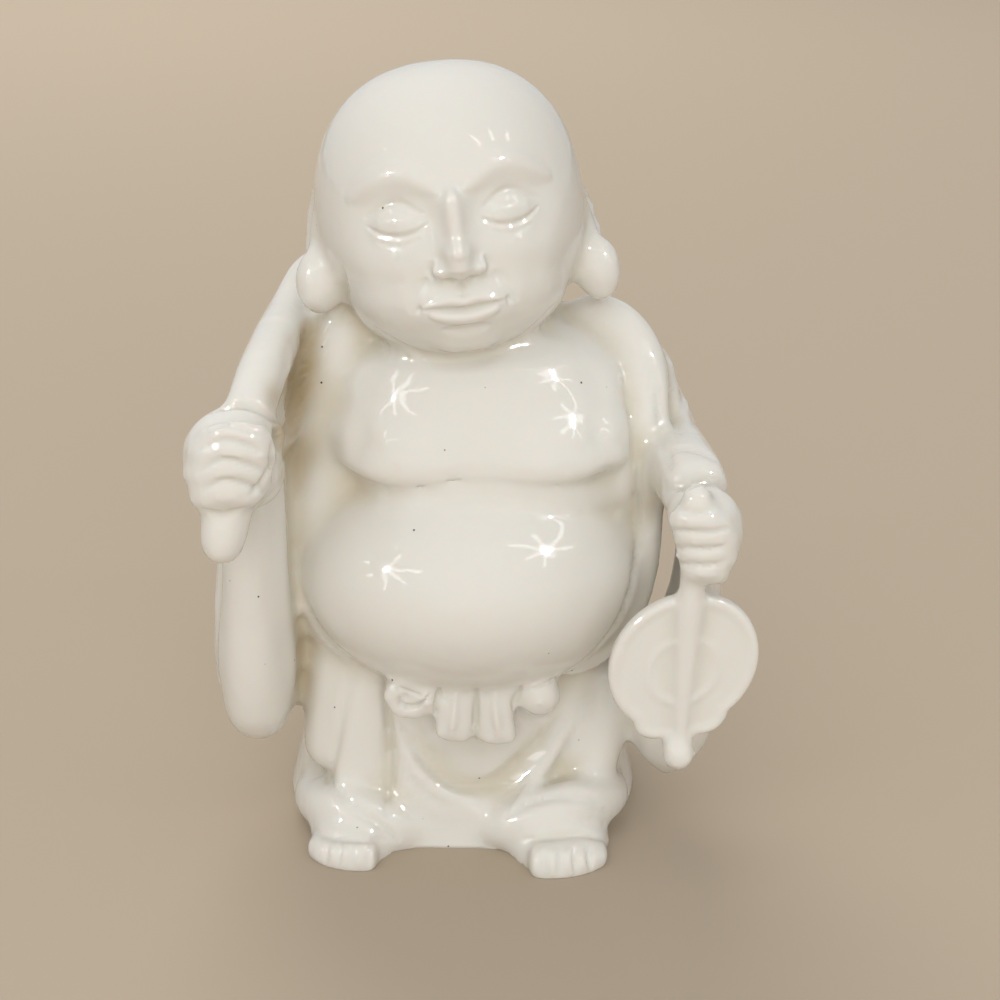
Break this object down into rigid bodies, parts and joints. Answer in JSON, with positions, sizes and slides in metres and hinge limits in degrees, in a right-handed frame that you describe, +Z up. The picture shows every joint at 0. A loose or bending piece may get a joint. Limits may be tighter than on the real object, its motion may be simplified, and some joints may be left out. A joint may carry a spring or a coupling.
{
  "type": "budai figure",
  "caption": "Standing pot-bellied glazed porcelain figure with a round fan and a sack slung over its shoulder.",
  "frame": {"origin": "middle of the flat underside, on the surface that the figure stands on", "axes": "+Z up, -Y to the figure's front, +X to the figure's left"},
  "size_m": [0.1026, 0.1004, 0.1522],
  "materials": {
    "glaze": "clear glossy glaze over white porcelain, warm white, faintly yellow-green where it pools in the creases"
  },
  "bodies": {
    "root": {"budai_figure": "glaze"}
  },
  "joints": []
}
